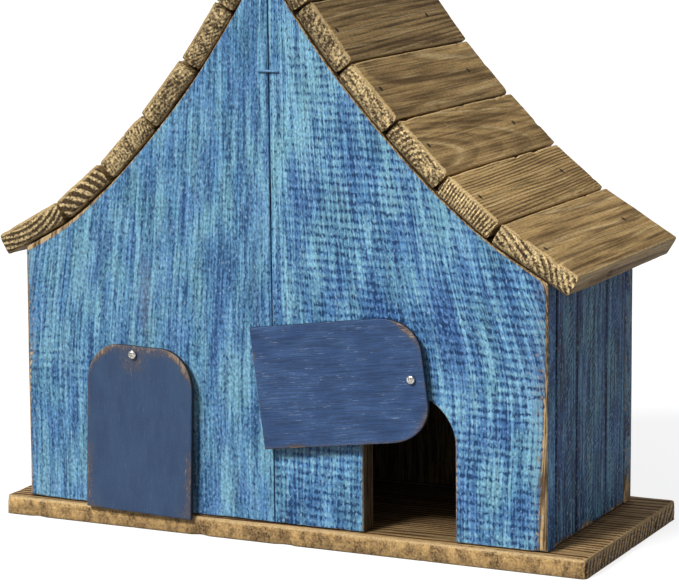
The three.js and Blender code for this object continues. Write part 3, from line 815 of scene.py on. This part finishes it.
def gable_board(node, wall_side, outer_y, step, doorway=None):
    """A gable board on a grid whose lines follow the doorway's arch, the leaning joint and the curved top."""
    outer, floor, joint, lean, *top_edge = gable_outline(node, wall_side, outer_y)
    low, high = sorted((joint, outer))
    if doorway:
        centre, radius, spring = doorway
        jambs = centre - radius, centre + radius
        turn = np.linspace(0, pi, 34)
        columns = np.concatenate([
            low + spread(jambs[0] - low, step),
            (centre - radius * np.cos(turn))[1:-1],
            jambs[1] + spread(high - jambs[1], step),
        ])
        near = jambs[0] if wall_side > 0 else jambs[1]
    else:
        columns = low + spread(high - low, step)
        near = outer
        spring = floor + GRID_SPLIT
    arch = np.full(len(columns), spring)
    below = spread(spring - floor, step)
    if doorway:
        apart = np.abs(columns - centre)
        arch = spring + np.sqrt(np.maximum(radius**2 - apart**2, 0))
    else:
        below = below[below <= spring - floor - step * 0.6]
    top = np.interp(columns, *top_edge)
    slant = np.clip((columns - near) / (joint - near), 0, 1) * lean
    for _ in range(3):
        top = np.interp(columns + slant * (top - floor), *top_edge)
    lines = EDGE_LINES
    count = round((top.max() - spring) / step)
    u = np.zeros((len(columns), len(below) + count + 2 * len(lines)))
    w = np.zeros_like(u)
    for i, x in enumerate(columns):
        start, end = arch[i], top[i]
        inner = np.linspace(start + lines[-1], end - lines[-1], count + 1)[1:-1]
        above = np.concatenate([start + lines, inner, end - lines[::-1], [end]])
        w[i] = np.concatenate([floor + below[:-1], [start], above])
        u[i] = x + slant[i] * (w[i] - floor)
    keep = np.ones((len(columns) - 1, w.shape[1] - 1), bool)
    if doorway:
        inside = apart < radius - 1e-6
        keep[inside[:-1] | inside[1:], : len(below) - 1] = False
    back, front = cad_box(node)
    return Board(u, w, (front - back)[1], keep)


def shape_wall(board, seed, corner=None):
    """Rounds a wall board, most of all at the corner of the house, and sinks its grain and saw marks."""
    p = board.points
    radius = 0.8 + 0.5 * layered(p, (10, 30, 10), seed + 50, 2)
    if corner is not None:
        radius = radius + 1.3 * ramp(12, 4, np.abs(p[:, 0] - corner))
    board.round_edges(np.clip(radius, 0.35, 2.6))
    wobble = unit(p, (20, 60, 20), seed + 54, 2)
    grain = unit(p, (3.2, 50, 6), seed + 57, 2)
    bands = 0.5 + 0.5 * np.sin(board["saw"] * 2 * pi / SAW_PITCH)
    board.sink(0.12 * wobble + 0.14 * grain + 0.06 * (1 - bands) * board["chatter"])


def make_front(side):
    sign, seed, strength = (-1, 3, 0.14) if side == "left" else (1, 8, 0.34)
    node = f"front_board_{side}"
    low, high = cad_box(node)
    board = gable_board(node, sign, low[1], 1.5, (DOORWAY[side], DOORWAY["radius"], DOORWAY["spring"]))
    p = board.points
    x, z, deep = p.T
    joint, corner = (high[0], low[0]) if sign < 0 else (low[0], high[0])
    reach = np.abs(x - joint) / abs(corner - joint)
    wall_attributes(board, seed, lambda x, z: sign * strength * reach**0.8 * (z - 96) * ramp(40, 150, z))
    outside = board.side == 1
    corner_side = (board.side == 0) & (np.abs(x - corner) < 0.01)
    board["wear"] = np.where(np.abs(x - joint) < 4, 0.0, 1.0)
    board["paint"] = (outside | corner_side | ((board.side == 0) & (deep < 1))) * 1.0

    drift = layered(p, (30, 45, 30), seed + 60, 3)
    if side == "right":
        chatter = 0.85 + 0.6 * drift - 0.6 * spot(p, joint + 8, 200, 26, 150)
        tone = 0.04 + 0.25 * drift + 0.18 * ramp(130, 240, z) + 0.16 * spot(p, joint + 10, 150, 20, 90)
        tone -= 0.34 * spot(p, joint + 42, 170, 16, 60) + 0.28 * spot(p, joint + 62, 105, 22, 50)
        tone -= 0.25 * spot(p, joint + 88, 120, 22, 24) + 0.2 * spot(p, joint + 30, 28, 40, 24)
        tone -= 0.3 * spot(p, corner - 22, 30, 34, 14) + 0.22 * spot(p, corner - 30, 70, 34, 12)
        tone += 0.16 * spot(p, joint + 30, 250, 44, 60) + 0.12 * spot(p, corner - 14, 110, 24, 44)
        strip = 1.7 + 5.0 * ramp(110, 12, z) + 3.5 * ramp(140, 149, z) + 1.4 * drift
        bare = np.maximum(
            np.maximum(
                ramp(strip, strip * 0.3, corner - x), (0.26 + 0.3 * drift) * ramp(13, 3, corner - x)
            ) * outside,
            0.9 * ramp(2.4, 1.0, deep) * corner_side,
        )
        board["score"] = np.minimum(np.abs(x - joint - 9.5), np.abs(x - joint - 13.0)) + (z > 130)
        sanded = 0.5 * spot(p, joint + 40, 186, 18, 22)
    else:
        chatter = 0.22 + 0.3 * drift + 0.5 * spot(p, corner + 18, 84, 44, 26)
        tone = 0.06 + 0.25 * drift + 0.16 * ramp(78, 40, z)
        tone -= 0.22 * spot(p, joint - 32, 190, 16, 70) + 0.16 * spot(p, joint - 18, 110, 18, 60)
        tone -= 0.22 * spot(p, corner + 10, 116, 26, 20) + 0.2 * spot(p, corner + 14, 80, 32, 6)
        tone += 0.2 * spot(p, corner + 22, 148, 34, 16) + 0.15 * spot(p, joint - 60, 180, 26, 40)
        bare = 0.8 * ramp(3.4 + drift, 0.6, x - corner)
        bare = np.maximum(bare, (0.2 + 0.3 * drift) * ramp(9, 2, x - corner))
        screw_x = middle("left_door_screw")[0]
        sanded = spot(p, screw_x + 4, 126, 9, 50) + 0.5 * spot(p, joint - 10, 130, 8, 90)
    top_gap = np.where(board.outward[:, 1] > 0.3, board.inset, 9)
    eave = ramp(0.55, 1.0, reach)
    rim = 0.7 + eave * (3.6 if side == "left" else 0.5) + 0.4 * drift
    bare = np.maximum(bare, 1.1 * ramp(rim, rim * 0.3, top_gap))
    door_low = z < DOORWAY["spring"] + 6
    at_jamb = ramp(1.8, 0.3, np.abs(np.abs(x - DOORWAY[side]) - DOORWAY["radius"])) * door_low
    bare = np.maximum(bare, (0.5 + 0.3 * drift) * at_jamb)
    board["chatter"] = np.clip(chatter, 0, 1.4) * outside
    board["tone"] = tone - 0.5 * corner_side * (side == "right")
    board["bare"] = bare
    board["sanded"] = sanded
    board["saw"] = board["saw"] + (0.03 if side == "right" else -0.02) * x
    shape_wall(board, seed, corner)
    axes = (1, 0, 0), (0, 0, 1), (0, 1, 0)
    board.build(f"front_{side}_boarding", axes, (0, low[1], 0), node, "front_paint", f"front_{side}")


def make_back(side):
    sign, seed = (-1, 13) if side == "left" else (1, 17)
    node = f"back_board_{side}"
    low, high = cad_box(node)
    board = gable_board(node, sign, high[1], 2.1)
    p = board.points
    x, z, deep = p.T
    joint, corner = (high[0], low[0]) if sign < 0 else (low[0], high[0])
    wall_attributes(board, seed, lambda x, z: sign * 0.0009 * np.abs(x - joint) * (z - 100))
    to_corner = np.abs(x - corner)
    board["paint"] = (board.side == 1) | (board.side == 0) & ((deep < 4) | (to_corner < 1))
    drift = layered(p, (34, 50, 34), seed + 60, 3)
    board["chatter"] = np.clip(0.5 + 0.6 * drift, 0, 1.3)
    board["tone"] = 0.2 + 0.2 * drift
    board["wear"] = to_corner >= 3
    bare = 0.3 * ramp(2.4, 0.3, to_corner) + 0.8 * spot(p, corner, 12, 9, 20)
    top_gap = np.where(board.outward[:, 1] > 0.3, board.inset, 9)
    board["bare"] = np.maximum(bare, 0.7 * ramp(1.4, 0.2, top_gap))
    board["saw"] = board["saw"] - 0.05 * x
    shape_wall(board, seed, corner)
    axes = (1, 0, 0), (0, 0, 1), (0, -1, 0)
    board.build(f"back_{side}_boarding", axes, (0, high[1], 0), node, "side_paint")


HATCH_COLUMN = {"front": 0.62, "middle": 0.44, "rear": 0.3}  # where saw marks show, as a share of the width


def make_side(side, row, seed):
    node = f"{side}_side_board_{row}"
    low, high = cad_box(node)
    size = high - low
    u, w = np.meshgrid(spread(size[1], 1.7), spread(size[2], 1.9), indexing="ij")
    board = Board(u, w, size[0])
    p = board.points
    y, z, deep = p.T
    wall_attributes(board, seed, lambda y, z: 0.02 * (z - 70) * sin(seed))
    board["paint"] = (board.side >= 0) & (deep < 3.5)
    drift = layered(p, (14, 40, 14), seed + 60, 3)
    column = ramp(0.24, 0.06, np.abs(y / size[1] - HATCH_COLUMN[row]))
    board["chatter"] = np.clip(0.12 + (1.1 + 0.8 * drift) * column, 0, 1.6)
    low_tone = 0.3 * ramp(80, 10, z)
    board["tone"] = -0.2 + 0.46 * drift + 0.22 * column + low_tone - 1.3 * ramp(2.6, 0.5, board.inset)
    board["saw"] = (z - 0.75 * y + 1.2 * layered(p, (16, 24, 16), seed + 2, 2)) * 1.15
    board["bare"] = 0.6 * ramp(5, 0.5, z + 3 * drift)
    board.fill(wear=0)
    shape_wall(board, seed)
    outer, inward = (low[0], 1) if side == "left" else (high[0], -1)
    axes, origin = ((0, 1, 0), (0, 0, 1), (inward, 0, 0)), (outer, low[1], low[2])
    board.build(f"{side}_{row}_boarding", axes, origin, node, "side_paint")


# ---- Base ----


def make_base():
    low, high = cad_box("base_board")
    size = high - low
    nails = [middle(f"base_nail_{n}") for n in ("front_left", "front_right", "back_left", "back_right")]
    reach = (-3.5, -2.9, -2.5, -1.4, 0, 1.4, 2.5, 2.9, 3.5)
    u_lines = merged(spread(size[1], 1.7), around(sorted({round(n[1] - low[1], 2) for n in nails}), reach))
    w_lines = merged(spread(size[0], 2.1), around([n[0] - low[0] for n in nails], reach))
    u, w = rounded_corners(*np.meshgrid(u_lines, w_lines, indexing="ij"), 3.4)
    depth_lines = [0, *EDGE_LINES, 4.4, 6.0, 7.5, 8.4, 9.1, 9.7, 10.15, size[2]]
    board = Board(u, w, size[2], depth_lines=depth_lines)
    p = board.points
    across, along, deep = p.T
    seed = 29
    wood_attributes(board, seed, (190, 45), (0.015, 0.04), 4.2, 2.3, 2.2, 1.0, 0.0)
    at_front = (board.side == 0) & (np.abs(board.outward[:, 0]) > 0.5)
    board["figure"] *= np.where(at_front, 0.2, 1.0)
    board["mottle"] = at_front
    end = board["end"]
    # Painted shade: the top inside the house is darkened to 0.55 and the end faces by 0.2 more. Outside the
    # house the top is 0.88, a darker stain than the long edges.
    indoors = (board.side == 1) & (np.abs(along - size[0] / 2) < 150) & (across > 8) & (across < size[1] - 14)
    # Darker in patches over the last 60 mm towards the right end, on the top and on the ends.
    darker_near_right_end = ramp(size[0] - 60, size[0], along) * ramp(0.75, 0.25, unit(p, (16, 60, 16), seed + 45, 2))
    faces = np.where(indoors, 0.55, 0.88) * (1 - 0.2 * darker_near_right_end)
    lit = np.where(board.side == 0, 1 - (0.2 + 0.12 * darker_near_right_end) * end, faces)
    board["shade"] *= lit
    radius = 2.0 + 0.8 * layered(p, (12, 16, 12), seed + 20, 2)
    board.round_edges(np.clip(np.where(deep < size[2] / 2, radius, 0.8), 0.4, 3.0))
    waves, furrows, sawn, chips = relief(p, seed, (20, 80, 20), (3, 60, 6), (7, 10, 7))
    sink = (0.2 * waves + 0.16 * furrows) * (board.side >= 0) + 0.5 * sawn * end
    sink += ramp(0.3, 0.8, chips) * (board.inset < 2.5) * (board.side <= 0)
    for n in nails:
        apart = np.hypot(across - (n[1] - low[1]), along - (n[0] - low[0]))
        sink = np.where(board.side == -1, np.maximum(sink, 0.6 * ramp(3.0, 2.4, apart)), sink)
    board.sink(sink)
    axes, origin = ((0, 1, 0), (1, 0, 0), (0, 0, -1)), (low[0], low[1], high[2])
    board.build("base_plank", axes, origin, "base_board", "base_wood")


# ---- Doors ----

DOOR_CORNER = (19, 22)  # how far each rounded top corner reaches across and down
# Each door: seed, width, how far its middle lies right of its screw, how far it reaches above and below
# the screw, and how many degrees it is swung from hanging straight.
DOORS = {"left": (5, 63.4, 3.7, 4.4, 85.8, 1.4), "right": (9, 64.4, 0.2, 7.2, 88.5, 82.3)}


def make_door(side):
    """A flap door, shaped as it hangs straight and then turned about its screw."""
    seed, width, offset, above, below, swing = DOORS[side]
    node = f"{side}_door"
    low, high = cad_box(node)
    pivot = middle(f"{side}_door_screw")
    reach_across, reach_down = DOOR_CORNER
    half = width / 2
    flat = half - reach_across
    turn = np.linspace(0, pi / 2, 18)
    bend = flat + reach_across * np.sin(turn)
    straight = np.linspace(-flat, flat, round(2 * flat / 1.3))
    columns = np.concatenate([-bend[::-1], straight[1:-1], bend])
    past = np.clip((np.abs(columns) - flat) / reach_across, 0, 1)
    top = above - reach_down + reach_down * np.sqrt(1 - past**2)
    share = spread(above + below, 1.3) / (above + below)
    u = np.repeat((columns + offset)[:, None], len(share), axis=1)
    w = -below + (top[:, None] + below) * share[None, :]
    thickness = high[1] - low[1]
    board = Board(u, w, thickness, depth_lines=[0, 0.3, 0.75, 1.5, 2.25, 2.7, thickness])
    p = board.points
    x, z, deep = p.T
    to_side = half - np.abs(x - offset)
    to_top = above - z
    board["grain"] = p + seed * 131.7
    rounded = ramp(16, 2, np.hypot(to_side, to_top) - 6)
    patchy = layered(p, (8, 14, 8), seed + 4, 2)
    reach = 2.6 + 3.6 * rounded + 2.4 * patchy
    near_edge = ramp(reach, 0.0, board.inset)
    rub = near_edge * (0.36 + (0.56 if side == "left" else 0.24) * rounded + 0.5 * patchy)
    if side == "left":
        rub = np.max([
            rub,
            0.5 * ramp(13, 2, np.hypot(x * 0.8, z * 0.9 + 3)),
            0.66 * ramp(9, 0, to_top),
            0.6 * ramp(8, 1, to_side) * ramp(-36, -60, z),
            0.5 * ramp(24, 0, z + below) * ramp(16, 2, to_side),
        ], axis=0)
    else:
        rub += 0.35 * ramp(3.5, 0, half - (x - offset))
    board["rub"] = np.where(board.side == -1, 0.2, rub)
    # Painted shade: the door's side faces behind the front arris and its whole back are marked for near
    # black, dark edge paint together with painted shade.
    board["rim"] = (board.side == 0) & (deep > 0.6) | (board.side == -1)
    board.round_edges(np.clip(0.7 + 0.35 * layered(p, (8, 8, 8), seed + 6, 2), 0.3, 1.3))
    board.sink(0.08 + 0.08 * layered(p, (18, 34, 18), seed + 8, 2))
    angle = radians(swing)
    axes = (cos(angle), 0, -sin(angle)), (sin(angle), 0, cos(angle)), (0, 1, 0)
    board.build(f"{side}_flap", axes, (pivot[0], low[1], pivot[2]), node, "door_paint", node, node)


# ---- Small metal ----


def add_tube(name, points, sides, flip, node, slot):
    """A closed tube through rings of points. flip turns its faces over, for rings that run the other way."""
    rings = len(points) // sides
    faces = []
    for i in range(rings - 1):
        for k in range(sides):
            a, b = i * sides + k, i * sides + (k + 1) % sides
            faces.append((a, a + sides, b + sides, b) if flip else (a, b, b + sides, a + sides))
    for cap in (range(sides)[::-1], range((rings - 1) * sides, rings * sides)):
        faces.append(tuple(cap[::-1] if flip else cap))
    mesh = bpy.data.meshes.new(name)
    mesh.from_pydata([tuple(v * MM for v in p) for p in points], [], faces)
    add_piece(name, mesh, node, slot, "house")


def make_screw(side):
    """A domed screw with a cross recess, its thread hidden in the wall."""
    node = f"{side}_door_screw"
    low, high = cad_box(node)
    centre = (low + high) / 2
    head = (high[0] - low[0]) / 2
    length = high[1] - low[1]
    sectors = 64
    angles = np.arange(sectors) * 2 * pi / sectors
    rings = [
        (r * head, 1.8 * (1 - sqrt(max(0.0, 1 - (r * 0.97) ** 2))) * 0.62) for r in np.linspace(0.03, 1, 26)
    ]
    rings += [(head, 1.45), (head * 0.98, 1.72), (head * 0.9, 1.8), (1.3, 1.8)]
    depth = 2.2
    while depth < length - 3:
        rings += [(1.3, depth), (1.02, depth + 0.35), (1.3, depth + 0.7)]
        depth += 1.0
    rings += [(1.0, length - 2.4), (0.5, length - 0.9), (0.06, length - 0.02)]
    points = []
    turned = radians(24 if side == "left" else 63)
    for radius, depth in rings:
        for a in angles:
            x, z = radius * cos(a), radius * sin(a)
            recess = 0.0
            if depth < 1.3 and radius < head * 0.62:
                arm = min(abs(radius * cos(a - turned)), abs(radius * sin(a - turned)))
                slot_depth = 0.75 * (1 - float(ramp(0.26, 0.42, arm)))
                recess = slot_depth * (1 - float(ramp(head * 0.42, head * 0.58, radius)))
            points.append((centre[0] + x, low[1] + depth + recess, centre[2] + z))
    add_tube(f"{side}_cross_screw", points, sectors, False, node, "bright_steel")


def make_staple():
    """A flat wire staple: rounded wire swept along its crown and legs."""
    low, high = cad_box("joint_staple")
    half, _, wire = (high - low) / 2
    centre = (low + high) / 2
    flat, bend, sides = 0.35, 0.8, 12
    leg, front = -half + flat, low[1] + flat
    path = [(leg, high[1] - 0.1)] + [(leg, y) for y in np.linspace(high[1] - 1.0, front + bend, 5)]
    for t in np.linspace(0.2, pi / 2, 6):
        path.append((leg + bend * (1 - cos(t)), front + bend * (1 - sin(t))))
    path = path + [(x, front) for x in np.linspace(-half + 3, half - 3, 7)] + [(-x, y) for x, y in path[::-1]]
    points = []
    for i, (x, y) in enumerate(path):
        ahead = np.array(path[min(i + 1, len(path) - 1)]) - np.array(path[max(i - 1, 0)])
        ahead = ahead / np.linalg.norm(ahead)
        for k in range(sides):
            t = 2 * pi * k / sides
            thick = flat * copysign(abs(cos(t)) ** 0.7, cos(t))
            tall = wire * copysign(abs(sin(t)) ** 0.7, sin(t))
            points.append((centre[0] + x - ahead[1] * thick, y + ahead[0] * thick, centre[2] + tall))
    add_tube("joint_wire_staple", points, sides, True, "joint_staple", "painted_staple")


# ---- Putting it together ----

make_camera()
make_light()
make_floor()

make_base()
for side in ("left", "right"):
    make_front(side)
    make_back(side)
    for k, row in enumerate(("front", "middle", "rear")):
        make_side(side, row, 41 + k + (7 if side == "left" else 0))
    for k in range(1, 7):
        ends = [f"{side}_roof_brad_{k}_{end}" for end in ("front", "back")]
        make_plank(f"{side}_{k}", 60 + 3 * k + (31 if side == "left" else 0), ends)
    make_screw(side)
for side in DOORS:
    make_door(side)
make_staple()

for name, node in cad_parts.items():
    if "brad" in name or "nail" in name or "spacer" in name:
        node.data.materials.clear()
        node.data.materials.append(FINISH["dark_steel"])
